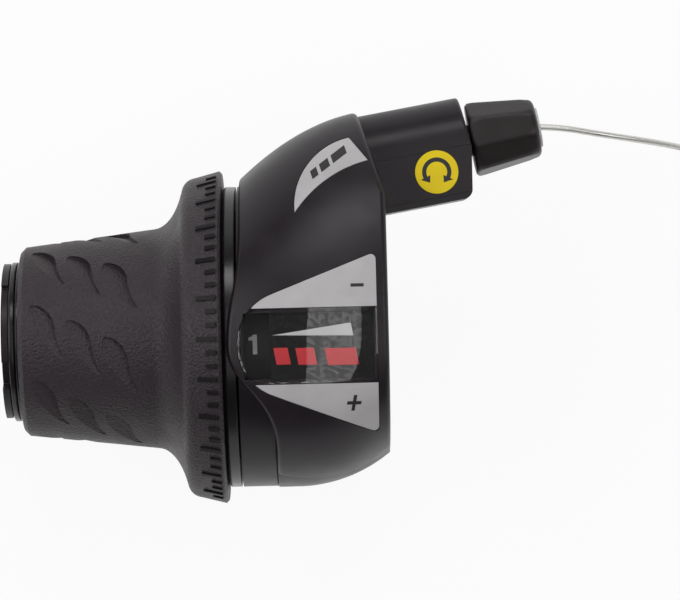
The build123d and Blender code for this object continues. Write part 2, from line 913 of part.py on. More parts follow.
# Lower and rear shell of the housing
with BuildPart() as rear_cover:
    bend_x = shell_start + bottom_bend
    halfway = (bend_x + housing_end) / 2
    with BuildSketch(Plane.XY):
        with BuildLine():
            Line((cover_edge, cover_radius), (bend_x, cover_radius))
            ThreePointArc(
                (bend_x, cover_radius),
                (halfway, bottom_radius(halfway)),
                (housing_end, bottom_radius(housing_end)),
            )
            Polyline(
                (housing_end, bottom_radius(housing_end)),
                (housing_end, collar_radius + seat_gap),
                (housing_end - end_wall, collar_radius + seat_gap),
                (housing_end - end_wall, bottom_radius(housing_end) - rear_wall),
            )
            inside_x = web_end + seat_gap
            inside_middle = (inside_x + housing_end) / 2
            ThreePointArc(
                (housing_end - end_wall, bottom_radius(housing_end) - rear_wall),
                (inside_middle, bottom_radius(inside_middle) - rear_wall),
                (inside_x, back_shell_radius + seat_gap),
            )
            Polyline(
                (inside_x, back_shell_radius + seat_gap),
                (cover_edge, back_shell_radius + seat_gap),
                (cover_edge, cover_radius),
            )
        make_face()
    revolve(axis=Axis.X)
    # Everything above the seam belongs to the front cover
    with BuildSketch(Plane.XZ):
        Polygon(
            (0, seam_height(0) - seat_gap),
            (far, seam_height(far) - seat_gap),
            (far, far),
            (0, far),
            align=None,
        )
    extrude(amount=far, mode=Mode.SUBTRACT)
    with BuildSketch(Plane.XZ):
        Polygon(
            (0, arm_back),
            (web_end + seat_gap, arm_back),
            (web_end + seat_gap, arm_front),
            (far, arm_front),
            (far, far),
            (0, far),
            align=None,
        )
    extrude(amount=-far, mode=Mode.SUBTRACT)
    with BuildSketch(arm_plane.offset(far / 2)):
        with Locations(((far - arm_depth - seat_gap) / 2, arm_back - arm_height + far / 2)):
            Rectangle(far + arm_depth + seat_gap, far)
    extrude(amount=-far / 2 - arm_root - seat_gap, mode=Mode.SUBTRACT)
    # Boss for the lower screw
    with BuildSketch(body_screw_plane.offset(rear_wall / 2)):
        Circle(screw_boss + seat_gap)
    extrude(amount=body_boss_length - rear_wall / 2)
    with BuildSketch(body_screw_plane.offset(-far / 2)):
        Circle(screw_head_diameter / 2 + seat_gap)
    extrude(amount=far / 2 + body_head_seat, mode=Mode.SUBTRACT)
    with BuildSketch(body_screw_plane):
        Circle(screw_diameter / 2 + seat_gap)
    extrude(amount=far / 4, mode=Mode.SUBTRACT)
    # Opening for the clamp
    with BuildSketch(Plane.XY.offset(-far)):
        with Locations((web_end + far / 2, (clamp_open_high + clamp_open_low) / 2)):
            Rectangle(far, clamp_open_high - clamp_open_low)
    extrude(amount=far - clamp_open_depth, mode=Mode.SUBTRACT)


def inlaid(outline, floor):
    """Prism of an outline, from the outside of the housing in to a floor below its skin."""
    with BuildPart() as prism:
        with BuildSketch(Plane.XY.offset(inlay_base)):
            add(outline)
        extrude(amount=far)
        add(floor, mode=Mode.SUBTRACT)
    return prism.part


def band_part(outline, low, high, left=-far, right=far):
    """Part of an outline between two heights and two places along the bar."""
    with BuildSketch() as part_face:
        add(outline)
        with Locations(((left + right) / 2, (low + high) / 2)):
            Rectangle(right - left, high - low, mode=Mode.INTERSECT)
    return part_face.sketch


band_low = band_center - band_height / 2
band_high = band_center + band_height / 2
card_left = shell_start + card_start
card_right = shell_start + display_right - ledge
card_low = band_low + ledge
card_high = band_high - ledge
full_outline = display_outline(0)
fitted_outline = display_outline(display_clearance)
panel_seat = inlaid(full_outline, panel_floor)
lens_seat = inlaid(band_part(full_outline, band_low, band_high), lens_floor)
card_seat = inlaid(band_part(full_outline, card_low, card_high, card_left, card_right), card_floor)
inlay_seat = inlaid(inlay_outline(), inlay_floor)

# Boss above the arm's screw, kept inside the arm's round skin
with BuildPart() as arm_boss:
    with BuildSketch(arm_screw_plane.offset(arm_depth - arm_seam + seat_gap)):
        Circle(screw_boss)
    extrude(amount=arm_radius)
    with BuildSketch(arm_plane):
        Circle(arm_radius - arm_wall / 2)
    extrude(amount=-arm_root, mode=Mode.INTERSECT)

# Tab that the lower screw bites into, kept inside the cover's skin
tab_plane = body_screw_plane.offset(body_boss_length + seat_gap)
with BuildPart() as screw_tab:
    with BuildSketch(tab_plane):
        with Locations((0, (tab_top - tab_drop) / 2)):
            Rectangle(tab_width, tab_top + tab_drop)
    extrude(amount=tab_thickness)
    with BuildSketch(tab_plane):
        with Locations((0, tab_top - tab_bridge / 2)):
            Rectangle(tab_width, tab_bridge)
    extrude(amount=-body_boss_length)
    add(panel_floor, mode=Mode.INTERSECT)

# Outside of the arm's upper half, with a leaning end
with BuildPart() as arm_roof:
    with BuildSketch(arm_plane.offset(arm_end_room)):
        Circle(arm_radius)
        with Locations((-arm_seam / 2, 0)):
            Rectangle(arm_seam, 2 * arm_radius)
        with Locations((-arm_seam - far / 2, 0)):
            Rectangle(far, far, mode=Mode.SUBTRACT)
    extrude(amount=-arm_end_room - arm_cover_root)
    lean = far * math.tan(math.radians(arm_lean))
    end_x = shell_start + arm_end
    seam_y = arm_center.Y - arm_seam
    with BuildSketch(Plane.XY.offset(-far)):
        Polygon(
            (end_x + lean, seam_y - far),
            (end_x - lean, seam_y + far),
            (end_x + 2 * far, seam_y + far),
            (end_x + 2 * far, seam_y - far),
            align=None,
        )
    extrude(amount=2 * far, mode=Mode.SUBTRACT)
    roof_end = arm_roof.faces().sort_by(Axis(arm_center, arm_out))[-1]
    fillet(roof_end.edges().filter_by(GeomType.ELLIPSE), arm_edge)

# Front housing with the display and the upper half of the arm
with BuildPart() as front_cover:
    add(outer_form)
    end_edges = front_cover.faces().sort_by(Axis.X)[-2:].edges().filter_by(GeomType.LINE, reverse=True)
    fillet(end_edges.filter_by(lambda edge: edge.center().Z > arm_back), end_edge)
    add(arm_roof.part)
    add(cavity_form, mode=Mode.SUBTRACT)
    with BuildSketch(arm_plane.offset(-end_wall)):
        Circle(arm_radius - arm_wall)
        with Locations((-arm_depth / 2, 0)):
            Rectangle(arm_depth, 2 * (arm_radius - arm_wall))
    extrude(amount=-arm_root + end_wall, mode=Mode.SUBTRACT)
    with BuildSketch(arm_plane.offset(arm_end_room)):
        Circle(boss_radius + seat_gap)
    extrude(amount=-arm_end_room - end_wall, mode=Mode.SUBTRACT)
    # Room for the drum shell, the web and the clamp collar
    with BuildSketch(Plane.XY):
        with BuildLine():
            Polyline(
                (-far, 0),
                (-far, shell_radius + seat_gap),
                (cover_edge, shell_radius + seat_gap),
                (cover_edge, back_shell_radius + seat_gap),
                (web_end + seat_gap, back_shell_radius + seat_gap),
                (web_end + seat_gap, collar_radius + seat_gap),
                (far, collar_radius + seat_gap),
                (far, 0),
                close=True,
            )
        make_face()
    revolve(axis=Axis.X, mode=Mode.SUBTRACT)
    # Below the seam belongs to the rear cover
    with BuildSketch(Plane.XZ):
        Polygon(
            (-far, seam_height(-far)), (far, seam_height(far)), (far, -far), (-far, -far), align=None
        )
    extrude(amount=far, mode=Mode.SUBTRACT)
    # Below the arm's seam belongs to the bracket
    seam_inner = arm_center - arm_out * (arm_root + arm_wall) - arm_up * arm_seam
    seam_outer = arm_center + arm_out * arm_root - arm_up * arm_seam
    with BuildSketch(Plane.XY.offset(-far)):
        Polygon(
            (seam_inner.X, 0),
            (seam_outer.X, 0),
            (seam_outer.X, seam_outer.Y),
            (seam_inner.X, seam_inner.Y),
            align=None,
        )
    extrude(amount=far + arm_front, mode=Mode.SUBTRACT)
    # Curved left edge with the nose over the grip's rim
    nose_x = shell_start - nose_overhang + nose_side
    with BuildSketch(Plane.XY.offset(-far)):
        with BuildLine():
            Polyline((cover_edge, -cover_left_low), (cover_edge, -far), (-far, -far), (-far, far))
            Polyline((-far, far), (shell_start + nose_side, far), (shell_start + nose_side, nose_top))
            Spline(
                (shell_start + nose_side, nose_top),
                (nose_x - nose_side, display_y),
                (cover_edge, -cover_left_low),
                tangents=[(0, -1), (0, -1), (0, -1)],
            )
        make_face()
    extrude(amount=2 * far, mode=Mode.SUBTRACT)
    left_faces = front_cover.faces().sort_by(Axis.X)[:2]
    nose_edges = [
        face.edges().filter_by(GeomType.BSPLINE).sort_by(SortBy.LENGTH)[-1] for face in left_faces
    ]
    fillet(nose_edges, nose_round)
    # Boss for the arm's screw and tab for the lower one
    add(arm_boss.part)
    add(screw_tab.part)
    with BuildSketch(arm_screw_plane.offset(arm_depth - arm_seam)):
        Circle(screw_diameter / 2 + glue_gap)
    extrude(amount=screw_bite, mode=Mode.SUBTRACT)
    with BuildSketch(tab_plane):
        Circle(screw_diameter / 2 + glue_gap)
    extrude(amount=tab_thickness, mode=Mode.SUBTRACT)
    # Seats for the panels, the lens, the card and the inlay
    for seat in (panel_seat, lens_seat, card_seat, inlay_seat):
        add(seat, mode=Mode.SUBTRACT)
    with BuildSketch(Plane.XY.offset(groove_floor)):
        with Locations((shell_start + (card_start + number_left) / 2, band_center)):
            Rectangle(card_start - number_left, band_height - 2 * ledge)
    extrude(amount=far, mode=Mode.SUBTRACT)

# Silver panel above the window
with BuildPart() as minus_panel:
    with BuildSketch(Plane.XY.offset(inlay_base)):
        add(band_part(fitted_outline, band_high + display_clearance, far))
    extrude(amount=far)
    add(outer_form, mode=Mode.INTERSECT)
    add(panel_floor, mode=Mode.SUBTRACT)

# Silver panel below the window
with BuildPart() as plus_panel:
    with BuildSketch(Plane.XY.offset(inlay_base)):
        add(band_part(fitted_outline, -far, band_low - display_clearance))
    extrude(amount=far)
    add(outer_form, mode=Mode.INTERSECT)
    add(panel_floor, mode=Mode.SUBTRACT)

# Smoked window over the card and the number ring
with BuildPart() as window_lens:
    with BuildSketch(Plane.XY.offset(inlay_base)):
        add(band_part(fitted_outline, band_low, band_high))
    extrude(amount=far)
    add(outer_form, mode=Mode.INTERSECT)
    add(lens_floor, mode=Mode.SUBTRACT)

# Dark card under the window
with BuildPart() as display_card:
    with BuildSketch(Plane.XY.offset(inlay_base)):
        add(
            band_part(
                fitted_outline,
                card_low + display_clearance,
                card_high - display_clearance,
                card_left + display_clearance,
                card_right - display_clearance,
            )
        )
    extrude(amount=far)
    add(lens_floor, mode=Mode.INTERSECT)
    add(card_floor, mode=Mode.SUBTRACT)

# Silver crescent let into the shoulder
with BuildPart() as crescent_badge:
    with BuildSketch(Plane.XY.offset(inlay_base)):
        add(inlay_outline())
        offset(amount=-display_clearance, mode=Mode.REPLACE)
    extrude(amount=far)
    add(outer_form, mode=Mode.INTERSECT)
    add(inlay_floor, mode=Mode.SUBTRACT)

# Axis of the adjuster, and a plane through it with local x outwards along the cable
adjuster_axis = Axis(arm_center, arm_out)
adjuster_plane = Plane(origin=arm_center, x_dir=arm_out, z_dir=(0, 0, 1))

# Faceted knob with its threaded stem
with BuildPart() as barrel_adjuster:
    knob_middle = knob_gap + knob_length * knob_belly
    with BuildSketch(adjuster_plane):
        with BuildLine():
            Polyline(
                (knob_gap, 0),
                (knob_gap, knob_radius - knob_heel),
                (knob_gap + knob_heel, knob_radius),
            )
            ThreePointArc(
                (knob_gap + knob_heel, knob_radius),
                (knob_middle, (knob_radius + knob_tip_radius) / 2 + knob_bow),
                (knob_end - knob_round, knob_tip_radius),
            )
            RadiusArc(
                (knob_end - knob_round, knob_tip_radius),
                (knob_end, knob_tip_radius - knob_round),
                knob_round,
            )
            Polyline(
                (knob_end, knob_tip_radius - knob_round),
                (knob_end, 0),
                (knob_gap, 0),
            )
        make_face()
    revolve(axis=adjuster_axis)
    with BuildSketch(arm_plane.offset(knob_gap)):
        RegularPolygon(knob_radius * knob_flat, knob_facets, major_radius=False, rotation=knob_turn)
    extrude(amount=knob_length, taper=knob_taper, mode=Mode.INTERSECT)
    with BuildSketch(arm_plane.offset(knob_gap)):
        Circle(thread_diameter / 2)
    extrude(amount=-thread_length - knob_gap)
    with BuildSketch(arm_plane.offset(knob_end)):
        Circle(bush_radius + running_gap / 2)
    extrude(amount=-bush_length - running_gap, mode=Mode.SUBTRACT)
    with BuildSketch(arm_plane.offset(knob_end)):
        Circle(bush_bore)
    extrude(amount=-knob_end - thread_length, mode=Mode.SUBTRACT)

# Nylon bush in the mouth of the knob
with BuildPart() as casing_bush:
    bush_end = knob_end + bush_lip
    with BuildSketch(adjuster_plane):
        with BuildLine():
            Polyline(
                (knob_end - bush_length, bush_bore),
                (knob_end - bush_length, bush_radius),
                (knob_end + glue_gap, bush_radius),
                (knob_end + glue_gap, bush_lip_radius),
                (bush_end, bush_lip_radius),
                (bush_end, bush_socket_radius),
                (bush_end - bush_socket_depth, bush_socket_radius),
                (bush_end - bush_socket_depth, bush_bore),
                close=True,
            )
        make_face()
    revolve(axis=adjuster_axis)

# Round sticker on the front face of the arm
with BuildPart() as arm_badge:
    badge_center = arm_center - arm_out * badge_back - arm_up * badge_drop
    with BuildSketch(Plane.XY.offset(arm_front + glue_gap)):
        with Locations((badge_center.X, badge_center.Y)):
            Circle(badge_diameter / 2)
    extrude(amount=badge_thickness)

# Socket head bolt through the clamp's lugs
with BuildPart() as clamp_bolt:
    head_plane = Plane(
        origin=(clamp_middle, -lug_half - glue_gap, -bolt_drop), x_dir=(1, 0, 0), z_dir=(0, -1, 0)
    )
    with BuildSketch(head_plane):
        Circle(bolt_head_diameter / 2)
    extrude(amount=bolt_head_height)
    with BuildSketch(head_plane):
        Circle(bolt_diameter / 2)
    extrude(amount=-(2 * lug_half + nut_height + bolt_tip))
    with BuildSketch(head_plane.offset(bolt_head_height)):
        RegularPolygon(bolt_socket / 2, 6, major_radius=False)
    extrude(amount=-bolt_socket_depth, mode=Mode.SUBTRACT)

# Square nut on the far lug
with BuildPart() as clamp_nut:
    nut_plane = Plane(
        origin=(clamp_middle, lug_half + glue_gap, -bolt_drop), x_dir=(1, 0, 0), z_dir=(0, 1, 0)
    )
    with BuildSketch(nut_plane):
        RectangleRounded(nut_width, nut_width, nut_corner)
        Circle(bolt_diameter / 2 + glue_gap, mode=Mode.SUBTRACT)
    extrude(amount=nut_height)

# Two cross head screws: one up into the arm, one into the tab of the front cover
with BuildPart() as cover_screws:
    arm_grip = arm_depth - arm_seam - screw_head_height + screw_bite - seat_gap
    body_grip = body_boss_length - body_head_seat + screw_bite
    for seat_plane, head_seat, grip in (
        (arm_screw_plane, screw_head_height, arm_grip),
        (body_screw_plane, body_head_seat, body_grip),
    ):
        under_head = seat_plane.offset(head_seat - glue_gap)
        with BuildSketch(under_head):
            Circle(screw_head_diameter / 2)
        extrude(amount=-screw_head_height + glue_gap)
        with BuildSketch(under_head):
            Circle(screw_diameter / 2)
        extrude(amount=grip)
        with BuildSketch(under_head.offset(-screw_head_height + glue_gap)):
            Rectangle(screw_cross, screw_cross_width)
            Rectangle(screw_cross_width, screw_cross)
        extrude(amount=screw_cross_depth, mode=Mode.SUBTRACT)

# Curved plastic liner that leads the wire from the drum into the arm
with BuildPart() as cable_liner:
    add(round_tube(liner_route, guide_radius, liner_radius))
    add(round_tube(liner_route, guide_radius, liner_bore), mode=Mode.SUBTRACT)

# Wire inside the housing, from the drum to the mouth of the adjuster
with BuildPart() as inner_cable:
    add(round_tube((tangent_point, corner, mouth), guide_radius, wire_radius))

# Free wire down to its coil
with BuildPart() as cable_run:
    add(round_tube(wire_route, arc_radii(wire_route), wire_radius))

# Coil of the put-away length
coil_center = Vector(coil_x, coil_y, coil_bottom + coil_height / 2)
with BuildPart() as cable_coil:
    with BuildSketch(Plane(origin=coil_center, x_dir=(1, 0, 0), z_dir=(0, -1, 0))):
        with Locations((coil_mean_radius, 0)):
            RectangleRounded(coil_width, coil_height, coil_round)
    revolve(axis=Axis(coil_center, (0, 0, 1)))

# Strap round the coil's turns
with BuildPart() as coil_tie:
    tie_turn = math.radians(tie_angle)
    tie_out = Vector(math.cos(tie_turn), math.sin(tie_turn), 0)
    tie_plane = Plane(
        origin=coil_center + tie_out * coil_mean_radius,
        x_dir=tie_out,
        z_dir=(-tie_out.Y, tie_out.X, 0),
    )
    with BuildSketch(tie_plane):
        strap_width = coil_width + 2 * coil_lift
        strap_height = coil_height + 2 * (coil_lift - glue_gap)
        RectangleRounded(strap_width + 2 * tie_wall, strap_height + 2 * tie_wall, coil_round)
        RectangleRounded(strap_width, strap_height, coil_round - tie_wall, mode=Mode.SUBTRACT)
    extrude(amount=tie_width / 2, both=True)

pieces = {
    "grip_rubber": grip_rubber,
    "grip_core": grip_core,
    "winding_drum": winding_drum,
    "cable_nipple": cable_nipple,
    "cable_wrap": cable_wrap,
    "number_ring": number_ring,
    "detent_ring": detent_ring,
    "detent_spring": detent_spring,
    "thrust_washer": thrust_washer,
    "end_washer": end_washer,
    "base_bracket": base_bracket,
    "rear_cover": rear_cover,
    "front_cover": front_cover,
    "minus_panel": minus_panel,
    "plus_panel": plus_panel,
    "window_lens": window_lens,
    "display_card": display_card,
    "crescent_badge": crescent_badge,
    "barrel_adjuster": barrel_adjuster,
    "casing_bush": casing_bush,
    "arm_badge": arm_badge,
    "clamp_bolt": clamp_bolt,
    "clamp_nut": clamp_nut,
    "cover_screws": cover_screws,
    "cable_liner": cable_liner,
    "inner_cable": inner_cable,
    "cable_run": cable_run,
    "cable_coil": cable_coil,
    "coil_tie": coil_tie,
}
for name, piece in pieces.items():
    piece.part.label = name
    export_step(piece.part, f"parts/{name}.step")
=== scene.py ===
import json
import math

import bmesh
import bpy
import numpy as np
from mathutils import Matrix, Vector
from mathutils.bvhtree import BVHTree


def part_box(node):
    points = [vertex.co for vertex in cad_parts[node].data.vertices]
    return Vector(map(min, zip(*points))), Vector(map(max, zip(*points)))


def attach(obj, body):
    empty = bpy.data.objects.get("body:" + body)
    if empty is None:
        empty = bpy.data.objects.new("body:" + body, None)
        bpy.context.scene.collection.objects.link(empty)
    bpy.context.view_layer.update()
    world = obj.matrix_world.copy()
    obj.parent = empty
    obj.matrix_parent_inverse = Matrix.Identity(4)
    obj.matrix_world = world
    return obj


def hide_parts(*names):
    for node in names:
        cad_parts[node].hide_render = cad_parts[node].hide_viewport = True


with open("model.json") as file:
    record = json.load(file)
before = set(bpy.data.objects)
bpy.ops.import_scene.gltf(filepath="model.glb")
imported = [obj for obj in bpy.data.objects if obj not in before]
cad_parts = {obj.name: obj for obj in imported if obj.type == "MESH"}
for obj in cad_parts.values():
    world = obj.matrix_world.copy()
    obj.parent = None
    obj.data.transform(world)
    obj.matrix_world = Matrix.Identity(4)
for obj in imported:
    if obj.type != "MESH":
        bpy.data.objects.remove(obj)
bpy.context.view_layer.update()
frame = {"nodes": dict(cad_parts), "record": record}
nodes = frame["nodes"]
scene = bpy.context.scene
scene.view_settings.view_transform = "Standard"

MM = 0.001


# Helpers for node materials

cloud_scale = 180
cloud_detail = 3
middle_of_noise = (0.3, 0.7)
middle_of_pits = (0.05, 0.45)
pebble_smoothness = 0.6
corner_samples = 6


def new_material(name):
    """A material with a bare Principled shader."""
    material = bpy.data.materials.new(name)
    material.use_nodes = True
    return material, material.node_tree, material.node_tree.nodes["Principled BSDF"]


def node(tree, kind, **settings):
    """A new node with its settings."""
    made = tree.nodes.new(kind)
    for key, value in settings.items():
        setattr(made, key, value)
    return made


def own_place(tree):
    """Coordinates in the part's own frame, in metres."""
    return node(tree, "ShaderNodeTexCoord").outputs["Object"]


def noise(tree, scale, detail=2):
    """Noise with grains of about one over scale metres."""
    made = node(tree, "ShaderNodeTexNoise")
    made.inputs["Scale"].default_value = scale
    made.inputs["Detail"].default_value = detail
    tree.links.new(own_place(tree), made.inputs["Vector"])
    return made.outputs["Fac"]


def cells(tree, scale):
    """Pebbles of about one over scale metres."""
    made = node(tree, "ShaderNodeTexVoronoi", feature="SMOOTH_F1")
    made.inputs["Scale"].default_value = scale
    made.inputs["Smoothness"].default_value = pebble_smoothness
    tree.links.new(own_place(tree), made.inputs["Vector"])
    return made.outputs["Distance"]


def tint(tree, value, dark, light, span=middle_of_noise):
    """A colour that goes from dark to light as value goes through a span."""
    ramp = node(tree, "ShaderNodeValToRGB")
    for element, position, color in zip(ramp.color_ramp.elements, span, (dark, light)):
        element.position = position
        element.color = (*color, 1)
    tree.links.new(value, ramp.inputs["Fac"])
    return ramp.outputs["Color"]


def spread(tree, value, low, high):
    """A number that goes from low to high with the middle part of a noise."""
    made = node(tree, "ShaderNodeMapRange")
    made.inputs["From Min"].default_value = middle_of_noise[0]
    made.inputs["From Max"].default_value = middle_of_noise[1]
    made.inputs["To Min"].default_value = low
    made.inputs["To Max"].default_value = high
    tree.links.new(value, made.inputs["Value"])
    return made.outputs["Result"]


def bump(tree, shader, height, depth, edge):
    """Surface grain, with corners rounded off by edge metres."""
    rounded = node(tree, "ShaderNodeBevel", samples=corner_samples)
    rounded.inputs["Radius"].default_value = edge
    made = node(tree, "ShaderNodeBump")
    made.inputs["Strength"].default_value = 1.0
    made.inputs["Distance"].default_value = depth
    tree.links.new(height, made.inputs["Height"])
    tree.links.new(rounded.outputs["Normal"], made.inputs["Normal"])
    tree.links.new(made.outputs["Normal"], shader.inputs["Normal"])


def moulded(
    name, dark, light, rough, grain, grain_size, depth, edge=0.15 * MM, specular=0.5, painted_shade_in_pits=False
):
    """Moulded plastic or rubber with a fine grain, whose pits may be darker with painted shade."""
    material, tree, shader = new_material(name)
    cloud = noise(tree, cloud_scale, cloud_detail)
    height = grain(tree, 1 / grain_size)
    if painted_shade_in_pits:
        # Painted shade: the colour follows the grain's height, darker in the pits as if shade fell
        # there.
        color = tint(tree, height, dark, light, middle_of_pits)
    else:
        color = tint(tree, cloud, dark, light)
    tree.links.new(color, shader.inputs["Base Color"])
    tree.links.new(spread(tree, cloud, *rough), shader.inputs["Roughness"])
    shader.inputs["Specular IOR Level"].default_value = specular
    bump(tree, shader, height, depth, edge)
    return material


def metal(name, dark, light, rough, grain_size, depth, edge=0.1 * MM):
    """Bare metal with a fine drawn or cast grain."""
    material, tree, shader = new_material(name)
    cloud = noise(tree, 1 / grain_size, cloud_detail)
    tree.links.new(tint(tree, cloud, dark, light), shader.inputs["Base Color"])
    tree.links.new(spread(tree, cloud, *rough), shader.inputs["Roughness"])
    shader.inputs["Metallic"].default_value = 1.0
    bump(tree, shader, cloud, depth, edge)
    return material


def grey(value):
    return (value, value, value)


# Materials: dark and light colour, range of roughness, grain, its size and its depth

# The grip rubber's pits get painted shade from its grain.
rubber = moulded(
    "grip_rubber", (0.0115, 0.0080, 0.0105), (0.0290, 0.0215, 0.0268), (0.44, 0.54),
    cells, 0.44 * MM, 0.15 * MM, edge=0.25 * MM, specular=0.4, painted_shade_in_pits=True,
)
# Smoother, darker rubber for the raised ticks; its darker colour is painted shade on them.
smooth_shaded_rubber = moulded(
    "smooth_shaded_rubber", (0.0090, 0.0074, 0.0085), (0.0115, 0.0096, 0.0110), (0.36, 0.44),
    noise, 0.4 * MM, 0.01 * MM, specular=0.2,
)
satin = moulded(
    "satin_black", (0.0118, 0.0082, 0.0112), (0.0152, 0.0108, 0.0145), (0.32, 0.40),
    noise, 0.25 * MM, 0.006 * MM, edge=0.25 * MM, specular=0.3,
)
gloss = moulded(
    "gloss_black", (0.0085, 0.0070, 0.0078), (0.0120, 0.0100, 0.0108), (0.20, 0.28),
    noise, 0.8 * MM, 0.006 * MM, edge=0.5 * MM, specular=0.4,
)
knob = moulded(
    "knob_black", (0.0120, 0.0080, 0.0086), (0.0160, 0.0110, 0.0117), (0.26, 0.34),
    noise, 0.8 * MM, 0.006 * MM, edge=1.4 * MM, specular=0.4,
)
inner = moulded(
    "inner_plastic", grey(0.008), grey(0.011), (0.4, 0.5),
    noise, 0.4 * MM, 0.01 * MM, specular=0.1,
)
number_black = moulded(
    "number_black", grey(0.030), grey(0.038), (0.45, 0.55),
    noise, 0.3 * MM, 0.008 * MM, specular=0.2,
)
card = moulded(
    "card_black", grey(0.012), grey(0.015), (0.6, 0.7),
    noise, 0.3 * MM, 0.004 * MM, specular=0.1,
)
silver = moulded(
    "silver_panel", (0.455, 0.44, 0.45), (0.515, 0.50, 0.51), (0.34, 0.42),
    noise, 0.15 * MM, 0.003 * MM,
)
yellow = moulded(
    "yellow_label", (0.80, 0.600, 0.004), (0.88, 0.665, 0.006), (0.34, 0.42),
    noise, 0.5 * MM, 0.004 * MM, specular=0.25,
)
print_red = moulded(
    "print_red", (0.56, 0.020, 0.027), (0.62, 0.028, 0.036), (0.45, 0.55),
    noise, 0.4 * MM, 0.004 * MM,
)
print_black = moulded("print_black", grey(0.012), grey(0.018), (0.40, 0.50), noise, 0.4 * MM, 0.004 * MM)
print_white = moulded("print_white", grey(0.56), grey(0.64), (0.45, 0.55), noise, 0.4 * MM, 0.004 * MM)
nylon = moulded("white_nylon", grey(0.68), grey(0.78), (0.35, 0.45), noise, 0.4 * MM, 0.008 * MM)
tie = moulded("tie_plastic", grey(0.02), grey(0.035), (0.5, 0.6), cells, 0.5 * MM, 0.05 * MM)
bolt = metal("bolt_steel", grey(0.26), grey(0.36), (0.28, 0.40), 0.6 * MM, 0.006 * MM)
spring = metal("spring_steel", grey(0.40), grey(0.48), (0.22, 0.30), 0.5 * MM, 0.004 * MM)
zinc = metal("zinc", grey(0.48), grey(0.58), (0.35, 0.45), 0.5 * MM, 0.01 * MM)
strand = metal(
    "wire_steel", (0.62, 0.61, 0.585), (0.74, 0.73, 0.705), (0.32, 0.44), 0.4 * MM, 0.01 * MM
)

window_cloud_scale = 120
window_tints = (grey(0.86), grey(0.90))
window_roughness = (0.015, 0.03)
window_index = 1.49
window_shade = (0.85, 0.85, 0.86, 1)


def smoked_window():
    """Clear, slightly smoked plastic that lets lamps reach the card behind it."""
    material, tree, shader = new_material("smoked_window")
    cloud = noise(tree, window_cloud_scale)
    tree.links.new(tint(tree, cloud, *window_tints), shader.inputs["Base Color"])
    tree.links.new(spread(tree, cloud, *window_roughness), shader.inputs["Roughness"])
    shader.inputs["Transmission Weight"].default_value = 1.0
    shader.inputs["IOR"].default_value = window_index
    clear = node(tree, "ShaderNodeBsdfTransparent")
    clear.inputs["Color"].default_value = window_shade
    mix = node(tree, "ShaderNodeMixShader")
    tree.links.new(node(tree, "ShaderNodeLightPath").outputs["Is Shadow Ray"], mix.inputs["Fac"])
    tree.links.new(shader.outputs["BSDF"], mix.inputs[1])
    tree.links.new(clear.outputs["BSDF"], mix.inputs[2])
    tree.links.new(mix.outputs["Shader"], tree.nodes["Material Output"].inputs["Surface"])
    return material


finishes = {
    "grip_rubber": rubber,
    "gloss_black": gloss,
    "satin_black": satin,
    "inner_plastic": inner,
    "number_black": number_black,
    "silver_panel": silver,
    "smoked_window": smoked_window(),
    "card_black": card,
    "yellow_label": yellow,
    "white_nylon": nylon,
    "bolt_steel": bolt,
    "spring_steel": spring,
    "wire_steel": strand,
    "zinc": zinc,
    "tie_plastic": tie,
}
own_finishes = {"barrel_adjuster": knob}
for subpart in frame["record"]["subparts"]:
    mesh = nodes[subpart["node"]].data
    mesh.materials.clear()
    mesh.materials.append(own_finishes.get(subpart["node"], finishes[subpart["material_slot"]]))


# Window with an even curve, so that what it mirrors isn't broken up

lens_degree = 4
lens_powers = [(i, j) for i in range(lens_degree + 1) for j in range(lens_degree + 1 - i)]
lens_unit = 100
flat_share = 0.6


def even_normals(mesh, side):
    """Normals of the smooth surface through the corners of a mesh's front or back."""
    faces = [face for face in mesh.polygons if face.normal.z * side > flat_share]
    corners = {corner for face in faces for corner in face.vertices}
    points = [mesh.vertices[corner].co * lens_unit for corner in corners]
    powers = np.array([[point.x**i * point.y**j for i, j in lens_powers] for point in points])
    heights = np.array([point.z for point in points])
    factors = np.linalg.lstsq(powers, heights, rcond=None)[0]
    terms = [(factor, i, j) for factor, (i, j) in zip(factors, lens_powers)]
    normals = {}
    for face in faces:
        for loop in face.loop_indices:
            point = mesh.vertices[mesh.loops[loop].vertex_index].co * lens_unit
            slope_x = sum(factor * i * point.x ** max(i - 1, 0) * point.y**j for factor, i, j in terms)
            slope_y = sum(factor * j * point.x**i * point.y ** max(j - 1, 0) for factor, i, j in terms)
            normals[loop] = Vector((-slope_x, -slope_y, 1)).normalized() * side
    return normals


lens_mesh = nodes["window_lens"].data.copy()
lens_normals = [Vector(normal.vector) for normal in lens_mesh.corner_normals]
for side in (1, -1):
    for loop, normal in even_normals(lens_mesh, side).items():
        lens_normals[loop] = normal
lens_mesh.normals_split_custom_set(lens_normals)
lens = bpy.data.objects.new("clear_window", lens_mesh)
scene.collection.objects.link(lens)
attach(lens, "housing")
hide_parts("window_lens")


# Camera above the display, as far off as a long lens stands

camera_place = Vector((21.82, 6.52, 750.0)) * MM
field_width = 129.2 * MM
camera_roll = math.radians(-1.35)
sensor = 36.0
nearest_seen = 0.01
farthest_seen = 10.0

camera_data = bpy.data.cameras.new("camera")
camera_data.sensor_width = sensor
camera_data.lens = sensor * camera_place.z / field_width
camera_data.clip_start = nearest_seen
camera_data.clip_end = farthest_seen
camera = bpy.data.objects.new("camera", camera_data)
camera.location = camera_place
camera.rotation_euler = (0, 0, camera_roll)
scene.collection.objects.link(camera)
scene.camera = camera


# Free wire: the listed route to its coil, then the coil's turns

wire_diameter = 1.2 * MM
wire_roundness = 3
wire_smoothness = 4
coil_center = Vector((107.0, 10.0, 0.0)) * MM
coil_inner = 7.7 * MM
coil_columns = 6
coil_pitch = 1.24 * MM
coil_row_drop = 1.21 * MM
coil_first_row = -24.35 * MM
coil_first_radius = 10.9 * MM
points_per_turn = 16
landing_points = 4
hop_points = 2
last_turns = 1.7
full_rows = 4

